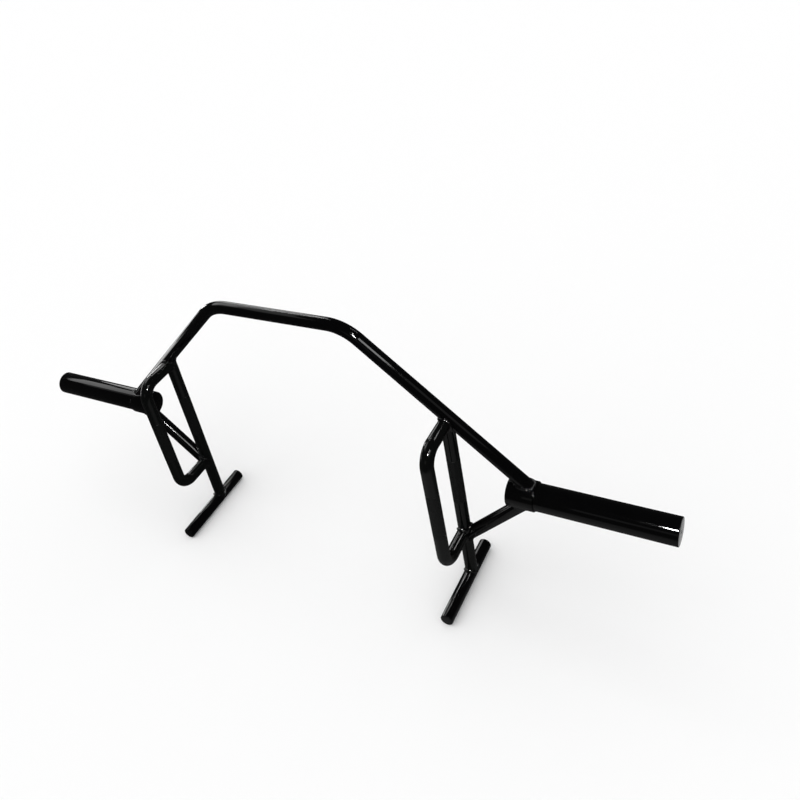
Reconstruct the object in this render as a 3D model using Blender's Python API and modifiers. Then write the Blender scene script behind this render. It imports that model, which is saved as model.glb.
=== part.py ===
"""Open trap bar that stands on its own two feet, in metres with Z up.

A bent top bar joins two plate sleeves. On each side an upright post hangs from the top
bar, stands on a foot bar and carries a forward D-shaped handle, and a brace runs from the
post out to the sleeve. For a lift the frame is turned flat round the lifter, with the
D-handles up: they are then the high grips and the posts the low ones. Every joint is
welded, so each bar end is cut to the bar it lands on and a weld bead runs round the joint.

X runs along the sleeves, the handles point to -Y, and the origin lies on the floor
midway between the feet.
"""

import math
from dataclasses import dataclass

import bmesh
import bpy
from mathutils import Quaternion, Vector

# Sleeves
SLEEVE_DIAMETER = 0.050
SLEEVE_HEIGHT = 0.271
LOADABLE_LENGTH = 0.238
SLEEVE_CHAMFER = 0.0012
CENTRE_HOLE_DIAMETER = 0.0064
CENTRE_HOLE_CONE = 0.0036
PILOT_DIAMETER = 0.0024
PILOT_DEPTH = 0.009

# Hub collars, whose outer ends are the plate stops, measured from the posts
STOP_REACH = 0.153
HUB_LENGTH = 0.050
SHOULDER_STEP = 0.0025
HUB_CHAMFER = 0.0012

# Bars of the frame
BAR_DIAMETER = 0.025
BAR_CHAMFER = 0.0016

# Top bar, measured to the corners where its straight runs would meet
TOP_HEIGHT = 0.5815
TOP_CORNER_SPAN = 0.294
TOP_BEND_RADIUS = 0.088
LEG_SEAT_INSET = 0.020

# Posts and handles
POST_SPAN = 0.640
HANDLE_REACH = 0.0925
HANDLE_DROP = 0.013
HANDLE_SPAN = 0.2785
HANDLE_BEND_RADIUS = 0.032

# Braces
BRACE_DROP = 0.0145
BRACE_SEAT_INSET = 0.0288

# Foot bars
FOOT_LENGTH = 0.200
FOOT_FRONT_REACH = 0.1265

# Fits and welds
CLEARANCE = 0.0003
CUT_STAGGER = 0.00005
WELD_RADIUS = 0.0040
WELD_STANDOFF = 0.0012
WELD_FLUSH_SHRINK = 0.6
WELD_CORNER_GROWTH = 0.3

# Facets
BAR_SIDES = 24
SLEEVE_SIDES = 32
WELD_STATIONS = 20
WELD_SMOOTHING = 2
BEND_STEP = math.radians(10)
RIM_SEGMENTS = 2
SHARP_ANGLE = math.radians(30)
MERGE_DISTANCE = 0.00001

# Sizes that follow
BAR_RADIUS = BAR_DIAMETER / 2
SLEEVE_RADIUS = SLEEVE_DIAMETER / 2
HUB_RADIUS = SLEEVE_RADIUS + SHOULDER_STEP
FRAME_Y = FOOT_FRONT_REACH - FOOT_LENGTH / 2
FOOT_HEIGHT = BAR_RADIUS
POST_X = POST_SPAN / 2
SHOULDER_X = POST_X + STOP_REACH
SLEEVE_END_X = SHOULDER_X + LOADABLE_LENGTH
HUB_INNER_X = SHOULDER_X - HUB_LENGTH
OVERRUN = BAR_DIAMETER
WELD_SIGHT_LINE = 4 * BAR_DIAMETER

# Paint
GLOSS_BLACK = (0.012, 0.012, 0.013, 1.0)
KNURLED_BLACK = (0.020, 0.021, 0.021, 1.0)
GLOSS_ROUGHNESS = 0.12
KNURLED_ROUGHNESS = 0.35
WELD_ROUGHNESS = 0.2


@dataclass(frozen=True)
class Rod:
    """A round rod: a point on its axis, the unit direction it runs in, and its radius."""

    point: Vector
    direction: Vector
    radius: float

    def at(self, distance):
        return self.point + self.direction * distance

    def grown(self, amount):
        return Rod(self.point, self.direction, self.radius + amount)


def rod_between(start, end, radius):
    return Rod(start, (end - start).normalized(), radius)


# Scene

def clear_scene():
    for obj in list(bpy.data.objects):
        bpy.data.objects.remove(obj, do_unlink=True)


def new_collection(name):
    collection = bpy.data.collections.new(name)
    bpy.context.scene.collection.children.link(collection)
    return collection


def move_to(obj, collection):
    for owner in list(obj.users_collection):
        owner.objects.unlink(obj)
    collection.objects.link(obj)


def paint(name, colour, roughness):
    material = bpy.data.materials.new(name)
    material.use_nodes = True
    shader = material.node_tree.nodes["Principled BSDF"]
    shader.inputs["Base Color"].default_value = colour
    shader.inputs["Roughness"].default_value = roughness
    shader.inputs["Metallic"].default_value = 0.0
    material.diffuse_color = colour
    return material


def finish_part(obj, name, colour=GLOSS_BLACK, roughness=GLOSS_ROUGHNESS):
    obj.name = name
    obj.data.name = name
    obj.data.materials.clear()
    obj.data.materials.append(paint(name + "_paint", colour, roughness))
    obj.data.shade_smooth()
    obj.data.set_sharp_from_angle(angle=SHARP_ANGLE)
    move_to(obj, PARTS)
    return obj


def hide_as_cutter(obj, name):
    obj.name = name
    obj.hide_render = True
    obj.display_type = "WIRE"
    move_to(obj, CUTTERS)
    return obj


# Shapes

def corner_radius(flat_radius, sides):
    """Radius at the corners of a polygon whose flats lie at flat_radius."""
    return flat_radius / math.cos(math.pi / sides)


def add_cylinder(start, end, radius, sides=BAR_SIDES):
    """A closed cylinder between two points, with one of its flats facing down."""
    axis = end - start
    bpy.ops.mesh.primitive_cylinder_add(
        vertices=sides,
        radius=corner_radius(radius, sides),
        depth=axis.length,
        location=(start + end) / 2,
    )
    obj = bpy.context.object
    half_facet = Quaternion((0, 0, 1), math.pi / sides)
    obj.rotation_euler = (axis.to_track_quat("Z", "Y") @ half_facet).to_euler()
    return obj


def add_turned(profile, sides=SLEEVE_SIDES):
    """A profile of (radius, height) points turned round Z with a Screw modifier."""
    scale = corner_radius(1.0, sides)
    points = [(radius * scale, 0.0, height) for radius, height in profile]
    mesh = bpy.data.meshes.new("turned")
    closed = profile[0][0] > 0
    edges = [(i, i + 1) for i in range(len(points) - 1)]
    if closed:
        edges.append((len(points) - 1, 0))
    mesh.from_pydata(points, edges, [])
    obj = bpy.data.objects.new("turned", mesh)
    bpy.context.scene.collection.objects.link(obj)
    screw = obj.modifiers.new("turn", "SCREW")
    screw.axis = "Z"
    screw.angle = math.tau
    screw.steps = sides
    screw.render_steps = sides
    screw.use_merge_vertices = True
    screw.merge_threshold = MERGE_DISTANCE
    return obj


def lay_along_x(obj, x_start, side):
    """Turn a shape made along Z to run outward along X from x_start on one side."""
    obj.rotation_euler = (0.0, side * math.pi / 2, 0.0)
    obj.location = (side * x_start, FRAME_Y, SLEEVE_HEIGHT)


def rounded_path(corners, bend_radius):
    """Points along straight runs joined by arcs of one radius at the inner corners."""
    path = [corners[0]]
    for before, corner, after in zip(corners, corners[1:], corners[2:]):
        incoming = (corner - before).normalized()
        outgoing = (after - corner).normalized()
        turn = incoming.angle(outgoing)
        reach = bend_radius * math.tan(turn / 2)
        toward_centre = (outgoing - incoming).normalized()
        centre = corner + toward_centre * (bend_radius / math.cos(turn / 2))
        start_spoke = corner - incoming * reach - centre
        plane_normal = incoming.cross(outgoing).normalized()
        steps = math.ceil(turn / BEND_STEP)
        for step in range(steps + 1):
            spin = Quaternion(plane_normal, turn * step / steps)
            path.append(centre + spin @ start_spoke)
    path.append(corners[-1])
    return path


def add_tube(points, radius, bevel_resolution, closed=False, sizes=None):
    """A bevelled curve through the points, made a mesh with its caps welded on."""
    curve = bpy.data.curves.new("path", "CURVE")
    curve.dimensions = "3D"
    curve.bevel_depth = radius
    curve.bevel_resolution = bevel_resolution
    curve.use_fill_caps = not closed
    spline = curve.splines.new("POLY")
    spline.points.add(len(points) - 1)
    spline.use_cyclic_u = closed
    for index, point in enumerate(points):
        spline.points[index].co = (*point, 1.0)
        if sizes:
            spline.points[index].radius = sizes[index]
    carrier = bpy.data.objects.new("path", curve)
    bpy.context.scene.collection.objects.link(carrier)
    bpy.context.view_layer.update()
    evaluated = carrier.evaluated_get(bpy.context.evaluated_depsgraph_get())
    mesh = bpy.data.meshes.new_from_object(evaluated)
    body = bmesh.new()
    body.from_mesh(mesh)
    bmesh.ops.remove_doubles(body, verts=body.verts, dist=MERGE_DISTANCE)
    bmesh.ops.recalc_face_normals(body, faces=body.faces)
    body.to_mesh(mesh)
    body.free()
    obj = bpy.data.objects.new("tube", mesh)
    obj.matrix_world = carrier.matrix_world
    bpy.context.scene.collection.objects.link(obj)
    bpy.data.objects.remove(carrier, do_unlink=True)
    return obj


def add_bar(points):
    """A round frame bar along a path, with its flats at the bar's radius."""
    bevel_resolution = (BAR_SIDES - 4) // 2
    return add_tube(points, corner_radius(BAR_RADIUS, BAR_SIDES), bevel_resolution)


def cut_with(obj, cutters):
    for cutter in cutters:
        cut = obj.modifiers.new("cut_" + cutter.name, "BOOLEAN")
        cut.operation = "DIFFERENCE"
        cut.object = cutter


def chamfer_ends(obj, width):
    """Round the end rims only: the sides' own facets meet at less than the sharp angle."""
    bevel = obj.modifiers.new("rim", "BEVEL")
    bevel.width = width
    bevel.segments = RIM_SEGMENTS
    bevel.limit_method = "ANGLE"
    bevel.angle_limit = SHARP_ANGLE


# Where things are

def leg_line(side):
    """The straight run of the top bar that comes down to one hub."""
    corner = Vector((side * TOP_CORNER_SPAN / 2, FRAME_Y, TOP_HEIGHT))
    seat = Vector((side * (SHOULDER_X - LEG_SEAT_INSET), FRAME_Y, SLEEVE_HEIGHT + HUB_RADIUS))
    return corner, seat


def leg_height(x):
    """Height of the top bar's axis on its sloping run."""
    corner, seat = leg_line(1)
    share = (x - corner.x) / (seat.x - corner.x)
    return corner.z + (seat.z - corner.z) * share


HANDLE_TOP = leg_height(POST_X) - HANDLE_DROP
HANDLE_BOTTOM = HANDLE_TOP - HANDLE_SPAN
BRACE_HEIGHT = HANDLE_BOTTOM - BRACE_DROP


def rods_of(side):
    """The straight stretches that meet at one side's joints, each starting at a joint."""
    corner, seat = leg_line(side)
    down = Vector((0, 0, -1))
    forward = Vector((0, -1, 0))
    out = Vector((side, 0, 0))
    post_x = side * POST_X
    brace_foot = Vector((post_x, FRAME_Y, BRACE_HEIGHT))
    brace_seat = Vector((side * (SHOULDER_X - BRACE_SEAT_INSET), FRAME_Y, SLEEVE_HEIGHT - HUB_RADIUS))
    return {
        "leg": rod_between(seat, corner, BAR_RADIUS),
        "hub": Rod(Vector((side * HUB_INNER_X, FRAME_Y, SLEEVE_HEIGHT)), out, HUB_RADIUS),
        "post": Rod(Vector((post_x, FRAME_Y, leg_height(POST_X))), down, BAR_RADIUS),
        "foot": Rod(Vector((post_x, FRAME_Y, FOOT_HEIGHT)), forward, BAR_RADIUS),
        "arm_top": Rod(Vector((post_x, FRAME_Y, HANDLE_TOP)), forward, BAR_RADIUS),
        "arm_bottom": Rod(Vector((post_x, FRAME_Y, HANDLE_BOTTOM)), forward, BAR_RADIUS),
        "brace": rod_between(brace_foot, brace_seat, BAR_RADIUS),
        "brace_top": rod_between(brace_seat, brace_foot, BAR_RADIUS),
        "post_foot": Rod(Vector((post_x, FRAME_Y, FOOT_HEIGHT)), -down, BAR_RADIUS),
    }


def make_cutters(side_name, side, rods):
    """Each rod grown by the clearance, long enough to cut whatever lands on it.

    Each cutter is a hair larger than the one before, so no two of their flats share a
    plane where bars of one diameter run flush.
    """
    brace_length = (rods["brace_top"].point - rods["brace"].point).length
    leg_length = (leg_line(side)[0] - leg_line(side)[1]).length
    arm_length = HANDLE_REACH - HANDLE_BEND_RADIUS
    spans = {
        "leg": (-OVERRUN, leg_length),
        "hub": (-OVERRUN, HUB_LENGTH + OVERRUN),
        "post": (-BAR_RADIUS, leg_height(POST_X) - FOOT_HEIGHT),
        "foot": (-2 * OVERRUN, 2 * OVERRUN),
        "arm_top": (0.0, arm_length),
        "arm_bottom": (0.0, arm_length),
        "brace": (0.0, brace_length + OVERRUN),
    }
    cutters = {}
    for index, (key, (near, far)) in enumerate(spans.items()):
        rod = rods[key].grown(CLEARANCE + index * CUT_STAGGER)
        sides = SLEEVE_SIDES if key == "hub" else BAR_SIDES
        obj = add_cylinder(rod.at(near), rod.at(far), rod.radius, sides)
        cutters[key] = hide_as_cutter(obj, f"{side_name}_{key}_cutter")
    shoulder = Vector((side * SHOULDER_X, FRAME_Y, SLEEVE_HEIGHT))
    beyond = shoulder + Vector((side * OVERRUN, 0, 0))
    trim = add_cylinder(shoulder, beyond, HUB_RADIUS + OVERRUN, SLEEVE_SIDES)
    cutters["past_shoulder"] = hide_as_cutter(trim, f"{side_name}_past_shoulder_cutter")
    return cutters


# Weld beads

def distance_to_rod(start, heading, rod):
    """How far along a line it first meets a rod, or passes closest to it."""
    offset = start - rod.point
    offset -= rod.direction * offset.dot(rod.direction)
    across = heading - rod.direction * heading.dot(rod.direction)
    a = across.dot(across)
    b = offset.dot(across)
    c = offset.dot(offset) - rod.radius ** 2
    root = math.sqrt(max(0.0, b * b - a * c))
    return (-b - root) / a


def rod_normal(point, rod):
    offset = point - rod.point
    return (offset - rod.direction * offset.dot(rod.direction)).normalized()


def bead_path(member, carriers):
    """Centre points and relative sizes of the bead where a member lands on its carriers.

    The member's direction points away from the joint. The bead thins where the two
    surfaces run flush into each other, as they do at the sides of equal bars, and
    thickens where they close to a sharp corner.
    """
    sideways = member.direction.orthogonal().normalized()
    across = member.direction.cross(sideways)
    start = member.at(WELD_SIGHT_LINE)
    points = []
    sizes = []
    for station in range(WELD_STATIONS):
        angle = math.tau * station / WELD_STATIONS
        spoke = sideways * math.cos(angle) + across * math.sin(angle)
        on_side = start + spoke * member.radius
        reach, carrier = min(
            ((distance_to_rod(on_side, -member.direction, rod), rod) for rod in carriers),
            key=lambda hit: hit[0],
        )
        corner = on_side - member.direction * reach
        away = rod_normal(corner, carrier)
        alignment = spoke.dot(away)
        shrink = WELD_FLUSH_SHRINK if alignment > 0 else WELD_CORNER_GROWTH
        size = 1.0 - shrink * alignment
        points.append(corner + (spoke + away) * WELD_STANDOFF * size)
        sizes.append(size)
    return smoothed(points), sizes


def smoothed(loop):
    """A closed loop with its kinks eased, each point drawn toward its neighbours' middle."""
    for _ in range(WELD_SMOOTHING):
        middles = [(loop[i - 1] + loop[(i + 1) % len(loop)]) / 2 for i in range(len(loop))]
        loop = [(point + middle) / 2 for point, middle in zip(loop, middles)]
    return loop


def add_bead(member, carriers, extra=0.0):
    points, sizes = bead_path(member, carriers)
    return add_tube(points, WELD_RADIUS + extra, 1, closed=True, sizes=sizes)


def make_weld(name, member, carriers, cutters):
    bead = add_bead(member, carriers)
    cut_with(bead, cutters)
    return finish_part(bead, name, roughness=WELD_ROUGHNESS)


# Pieces

def make_top_bar(hub_cutters):
    """The bent bar that joins both hubs."""
    left_corner, left_seat = leg_line(-1)
    right_corner, right_seat = leg_line(1)
    left_end = left_seat + (left_seat - left_corner).normalized() * OVERRUN
    right_end = right_seat + (right_seat - right_corner).normalized() * OVERRUN
    corners = [left_end, left_corner, right_corner, right_end]
    bar = add_bar(rounded_path(corners, TOP_BEND_RADIUS))
    cut_with(bar, hub_cutters)
    return finish_part(bar, "top_bar")


def make_sleeve(side_name, side):
    """The solid plate sleeve, drilled on its centre at the outer end."""
    length = SLEEVE_END_X - HUB_INNER_X
    profile = [
        (0.0, length - PILOT_DEPTH),
        (PILOT_DIAMETER / 2, length - PILOT_DEPTH),
        (PILOT_DIAMETER / 2, length - CENTRE_HOLE_CONE),
        (CENTRE_HOLE_DIAMETER / 2, length),
        (SLEEVE_RADIUS - SLEEVE_CHAMFER, length),
        (SLEEVE_RADIUS, length - SLEEVE_CHAMFER),
        (SLEEVE_RADIUS, 0.0),
        (0.0, 0.0),
    ]
    sleeve = add_turned(profile)
    lay_along_x(sleeve, HUB_INNER_X, side)
    return finish_part(sleeve, f"{side_name}_sleeve")


def make_hub(side_name, side):
    """The collar that takes the frame's welds and stops the plates."""
    bore = SLEEVE_RADIUS + CLEARANCE
    profile = [
        (bore, HUB_LENGTH),
        (HUB_RADIUS - HUB_CHAMFER, HUB_LENGTH),
        (HUB_RADIUS, HUB_LENGTH - HUB_CHAMFER),
        (HUB_RADIUS, HUB_CHAMFER),
        (HUB_RADIUS - HUB_CHAMFER, 0.0),
        (bore, 0.0),
    ]
    hub = add_turned(profile)
    lay_along_x(hub, HUB_INNER_X, side)
    return finish_part(hub, f"{side_name}_hub")


def make_post(side_name, rods, cutters):
    """The upright between the top bar and the foot, which is the low grip."""
    post = add_cylinder(rods["post"].point, rods["post_foot"].point, BAR_RADIUS)
    cut_with(post, [cutters["leg"], cutters["foot"]])
    return finish_part(post, f"{side_name}_post", KNURLED_BLACK, KNURLED_ROUGHNESS)


def make_handle(side_name, side, rods, cutters):
    """The D-shaped high grip, bent from one bar."""
    top = rods["arm_top"].point
    bottom = rods["arm_bottom"].point
    forward = Vector((0, -HANDLE_REACH, 0))
    handle = add_bar(rounded_path([top, top + forward, bottom + forward, bottom], HANDLE_BEND_RADIUS))
    cut_with(handle, [cutters["post"], cutters["leg"]])
    return finish_part(handle, f"{side_name}_d_handle", KNURLED_BLACK, KNURLED_ROUGHNESS)


def make_brace(side_name, rods, cutters):
    """The strut from the post's lower end out to the hub."""
    end = rods["brace_top"].point + rods["brace"].direction * OVERRUN
    brace = add_cylinder(rods["brace"].point, end, BAR_RADIUS)
    cut_with(brace, [cutters["post"], cutters["hub"], cutters["arm_bottom"]])
    return finish_part(brace, f"{side_name}_brace")


def make_foot(side_name, side):
    """The foot bar, whose lowest flat lies on the floor."""
    front = Vector((side * POST_X, FRAME_Y - FOOT_FRONT_REACH, FOOT_HEIGHT))
    rear = front + Vector((0, FOOT_LENGTH, 0))
    foot = add_cylinder(front, rear, BAR_RADIUS)
    chamfer_ends(foot, BAR_CHAMFER)
    return finish_part(foot, f"{side_name}_foot")


def make_welds(side_name, rods, cutters):
    """The beads round the seven joints of one side."""
    arm_top_bead = hide_as_cutter(
        add_bead(rods["arm_top"], [rods["post"], rods["leg"]], CLEARANCE),
        f"{side_name}_handle_top_bead_cutter",
    )
    arm_bottom_bead = hide_as_cutter(
        add_bead(rods["arm_bottom"], [rods["post"]], CLEARANCE),
        f"{side_name}_handle_bottom_bead_cutter",
    )
    upper = [cutters["post"], cutters["leg"], cutters["arm_top"]]
    lower = [cutters["post"], cutters["arm_bottom"], cutters["brace"]]
    make_weld(
        f"{side_name}_handle_top_weld", rods["arm_top"], [rods["post"], rods["leg"]], upper
    )
    make_weld(
        f"{side_name}_post_top_weld", rods["post"], [rods["leg"]], [*upper, arm_top_bead]
    )
    make_weld(f"{side_name}_handle_bottom_weld", rods["arm_bottom"], [rods["post"]], lower)
    make_weld(
        f"{side_name}_brace_foot_weld", rods["brace"], [rods["post"]], [*lower, arm_bottom_bead]
    )
    make_weld(
        f"{side_name}_brace_hub_weld",
        rods["brace_top"],
        [rods["hub"]],
        [cutters["brace"], cutters["hub"]],
    )
    make_weld(
        f"{side_name}_leg_hub_weld",
        rods["leg"],
        [rods["hub"]],
        [cutters["leg"], cutters["hub"], cutters["past_shoulder"]],
    )
    make_weld(
        f"{side_name}_foot_weld",
        rods["post_foot"],
        [rods["foot"]],
        [cutters["post"], cutters["foot"]],
    )


clear_scene()
PARTS = new_collection("trap_bar")
CUTTERS = new_collection("cutters")

hub_cutters = []
for side_name, side in (("left", -1), ("right", 1)):
    rods = rods_of(side)
    cutters = make_cutters(side_name, side, rods)
    hub_cutters.append(cutters["hub"])
    make_sleeve(side_name, side)
    make_hub(side_name, side)
    make_post(side_name, rods, cutters)
    make_handle(side_name, side, rods, cutters)
    make_brace(side_name, rods, cutters)
    make_foot(side_name, side)
    make_welds(side_name, rods, cutters)
make_top_bar(hub_cutters)
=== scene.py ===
"""Open trap bar in gloss black paint, standing on its two feet.

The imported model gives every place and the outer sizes. Each of its faceted nodes is
replaced here by a finished piece: round bars bent and coped like real ones, turned sleeves
and collars, knurled grips and rippled weld beads, all under one coat of paint. Everything
is in metres with Z up. X runs along the sleeves and the D-handles point to -Y.
"""

import logging
import math
from dataclasses import dataclass, field
from enum import Enum
from typing import Callable, Sequence

import bmesh
import bpy
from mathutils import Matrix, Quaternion, Vector


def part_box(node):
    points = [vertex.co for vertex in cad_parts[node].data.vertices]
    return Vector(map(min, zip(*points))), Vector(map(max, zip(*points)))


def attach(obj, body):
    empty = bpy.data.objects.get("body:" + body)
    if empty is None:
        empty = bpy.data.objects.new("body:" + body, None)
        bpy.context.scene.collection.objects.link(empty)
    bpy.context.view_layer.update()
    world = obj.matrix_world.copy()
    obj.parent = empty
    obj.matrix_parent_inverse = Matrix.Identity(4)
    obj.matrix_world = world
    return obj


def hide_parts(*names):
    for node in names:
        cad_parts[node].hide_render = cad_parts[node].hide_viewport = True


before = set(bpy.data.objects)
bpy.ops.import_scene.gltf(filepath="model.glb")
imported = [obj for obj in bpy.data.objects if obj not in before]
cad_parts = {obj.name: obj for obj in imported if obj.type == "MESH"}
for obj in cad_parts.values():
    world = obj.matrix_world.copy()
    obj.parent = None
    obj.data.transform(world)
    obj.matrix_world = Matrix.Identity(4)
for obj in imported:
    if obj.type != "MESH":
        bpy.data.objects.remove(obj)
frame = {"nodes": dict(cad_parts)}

LOG = logging.getLogger("trap_bar")

BODY = "root"

UP = Vector((0.0, 0.0, 1.0))
FORWARD = Vector((0.0, -1.0, 0.0))
OUTWARD = Vector((1.0, 0.0, 0.0))

BAR_SIDES = 56
SLEEVE_SIDES = 96
BEND_STEP = math.radians(5)
SHARP_ANGLE = math.radians(30)
MERGE_DISTANCE = 0.00001
PLACE_TOLERANCE = 0.00005
WELD_GAP = 0.0003
CUT_STAGGER = 0.00003
END_FACE_DEPTH = 0.0005
NOISE_MIDDLE = (0.3, 0.7)


class Side(Enum):
    """The two ends of the bar, each with its sign along X."""

    LEFT = -1
    RIGHT = 1


class Element(Enum):
    """What a selection in edit mode picks out."""

    EDGES = "EDGE"
    FACES = "FACE"


# Working in edit mode


def deselect_all() -> None:
    """Leave edit mode and deselect every object."""
    if bpy.context.object and bpy.context.object.mode != "OBJECT":
        bpy.ops.object.mode_set(mode="OBJECT")
    bpy.ops.object.select_all(action="DESELECT")


def work_on(piece: bpy.types.Object) -> None:
    """Make one object the only selected and active one.

    Args:
        piece: The object.
    """
    deselect_all()
    piece.select_set(True)
    bpy.context.view_layer.objects.active = piece


def open_for_editing(piece: bpy.types.Object) -> None:
    """Put one object into edit mode with nothing in it selected.

    Args:
        piece: The object.
    """
    work_on(piece)
    bpy.ops.object.mode_set(mode="EDIT")
    bpy.ops.mesh.select_all(action="DESELECT")


def close_editing() -> None:
    """Go back to object mode."""
    bpy.ops.object.mode_set(mode="OBJECT")


def finish_mesh() -> None:
    """Merge doubled vertices of the mesh in edit mode, turn its faces outwards and leave edit mode."""
    bpy.ops.mesh.select_all(action="SELECT")
    bpy.ops.mesh.remove_doubles(threshold=MERGE_DISTANCE)
    bpy.ops.mesh.normals_make_consistent(inside=False)
    close_editing()


def lay_ring(centre: Vector, heading: Vector, radius: float, sides: int, kind: Element) -> bpy.types.Object:
    """Lay a ring across a heading and open it for editing, all of it selected.

    Args:
        centre: The ring's middle.
        heading: The direction that it faces.
        radius: Its radius.
        sides: How many sides it has.
        kind: An open ring of edges, or one filled with a face.

    Returns:
        The ring's object, in edit mode.
    """
    deselect_all()
    bpy.ops.mesh.primitive_circle_add(
        vertices=sides,
        radius=radius,
        fill_type="NGON" if kind is Element.FACES else "NOTHING",
        location=centre,
        rotation=heading.to_track_quat("Z", "Y").to_euler(),
    )
    bpy.ops.object.transform_apply(location=True, rotation=True, scale=True)
    bpy.ops.object.mode_set(mode="EDIT")
    bpy.ops.mesh.select_mode(type=kind.value)
    bpy.ops.mesh.select_all(action="SELECT")
    return bpy.context.object


def select_where(piece: bpy.types.Object, kind: Element, wanted: Callable[..., bool]) -> None:
    """Select the edges or faces of the mesh in edit mode that pass a test.

    Args:
        piece: The object in edit mode.
        kind: Whether edges or faces are picked.
        wanted: A test that takes a bmesh edge or face.
    """
    bpy.ops.mesh.select_mode(type=kind.value)
    bpy.ops.mesh.select_all(action="DESELECT")
    mesh = bmesh.from_edit_mesh(piece.data)
    found = [part for part in (mesh.edges if kind is Element.EDGES else mesh.faces) if wanted(part)]
    for part in found:
        part.select_set(True)
    bmesh.update_edit_mesh(piece.data)


def both_ends(edge: bmesh.types.BMEdge, test: Callable[[Vector], bool]) -> bool:
    """Whether both ends of an edge pass a test on their place."""
    return all(test(vertex.co) for vertex in edge.verts)


# Straight stretches of round bar


@dataclass(frozen=True)
class Run:
    """A straight stretch of round bar between two points on its axis."""

    start: Vector
    end: Vector
    radius: float

    @property
    def length(self) -> float:
        """Distance between the two ends."""
        return (self.end - self.start).length

    @property
    def heading(self) -> Vector:
        """Unit direction from the start to the end."""
        return (self.end - self.start).normalized()

    def at(self, distance: float) -> Vector:
        """The point on the axis that lies a distance from the start."""
        return self.start + self.heading * distance

    def longer(self, extra: float) -> "Run":
        """The same stretch drawn out past both its ends."""
        return Run(self.at(-extra), self.at(self.length + extra), self.radius)

    def spoke(self, point: Vector) -> Vector:
        """Unit direction from the axis to a point beside it."""
        offset = point - self.start
        return (offset - self.heading * offset.dot(self.heading)).normalized()

    def reach_along(self, start: Vector, heading: Vector) -> float:
        """How far along a line it first meets this bar's surface, or passes closest to it.

        Args:
            start: A point on the line.
            heading: The line's unit direction.

        Returns:
            The distance from start, in metres.
        """
        offset = start - self.start
        offset -= self.heading * offset.dot(self.heading)
        across = heading - self.heading * heading.dot(self.heading)
        a = across.dot(across)
        b = offset.dot(across)
        c = offset.dot(offset) - self.radius**2
        return (-b - math.sqrt(max(0.0, b * b - a * c))) / a


class DrawnBar:
    """A round bar drawn out from one end ring, run by run and bend by bend."""

    def __init__(self, start: Vector, heading: Vector, radius: float) -> None:
        """Lay the first ring.

        Args:
            start: Where the bar's axis begins.
            heading: The direction that it sets out in.
            radius: The bar's radius.
        """
        self.piece = lay_ring(start, heading, radius, BAR_SIDES, Element.EDGES)
        self.end = start.copy()
        self.heading = heading.normalized()

    def run(self, length: float, rows: int = 1) -> None:
        """Draw the bar straight on.

        Args:
            length: How far.
            rows: How many rows of faces the stretch gets.
        """
        step = self.heading * (length / rows)
        for _ in range(rows):
            bpy.ops.mesh.extrude_region_move(TRANSFORM_OT_translate={"value": step})
        self.end += self.heading * length

    def bend(self, heading: Vector, radius: float) -> None:
        """Bend the bar round to a new heading. The spin operator turns against its angle.

        Args:
            heading: The direction after the bend.
            radius: The bend's radius on the bar's axis.
        """
        new_heading = heading.normalized()
        turn = self.heading.angle(new_heading)
        axis = self.heading.cross(new_heading).normalized()
        centre = self.end + axis.cross(self.heading) * radius
        bpy.ops.mesh.spin(steps=math.ceil(turn / BEND_STEP), angle=-turn, center=centre, axis=axis)
        self.end = centre + Quaternion(axis, turn) @ (self.end - centre)
        self.heading = new_heading

    def finish(self) -> bpy.types.Object:
        """Close both ends and turn every face outwards.

        Returns:
            The bar's object, in object mode.
        """
        bpy.ops.mesh.select_mode(type="EDGE")
        bpy.ops.mesh.select_all(action="DESELECT")
        bpy.ops.mesh.select_non_manifold()
        bpy.ops.mesh.fill_holes(sides=0)
        finish_mesh()
        return self.piece


def draw_along(corners: Sequence[Vector], radius: float, bend_radius: float) -> bpy.types.Object:
    """Draw a bar along straight lines between corners, with one bend at each inner corner.

    Args:
        corners: The ends and the points where the straight lines would meet.
        radius: The bar's radius.
        bend_radius: The bends' radius on the bar's axis.

    Returns:
        The bar's object.
    """
    headings = [(after - before).normalized() for before, after in zip(corners, corners[1:])]
    bar = DrawnBar(corners[0], headings[0], radius)
    for index, corner in enumerate(corners[1:]):
        inner = index + 1 < len(headings)
        setback = bend_radius * math.tan(headings[index].angle(headings[index + 1]) / 2) if inner else 0.0
        bar.run((corner - bar.end).length - setback)
        if inner:
            bar.bend(headings[index + 1], bend_radius)
    return bar.finish()


def cope(piece: bpy.types.Object, carriers: Sequence[Run]) -> None:
    """Cut a bar's ends to the round bars that they land on, with the gap that is welded up.

    Args:
        piece: The bar that is cut.
        carriers: The bars that it lands on, long enough to clear it.
    """
    for index, carrier in enumerate(carriers):
        deselect_all()
        bpy.ops.mesh.primitive_cylinder_add(
            vertices=SLEEVE_SIDES,
            radius=carrier.radius + WELD_GAP + index * CUT_STAGGER,
            depth=carrier.length,
            location=(carrier.start + carrier.end) / 2,
            rotation=carrier.heading.to_track_quat("Z", "Y").to_euler(),
        )
        cutter = bpy.context.object
        work_on(piece)
        cut = piece.modifiers.new("cope", "BOOLEAN")
        cut.operation = "DIFFERENCE"
        cut.solver = "EXACT"
        cut.object = cutter
        bpy.ops.object.modifier_apply(modifier=cut.name)
        bpy.data.objects.remove(cutter, do_unlink=True)


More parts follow.
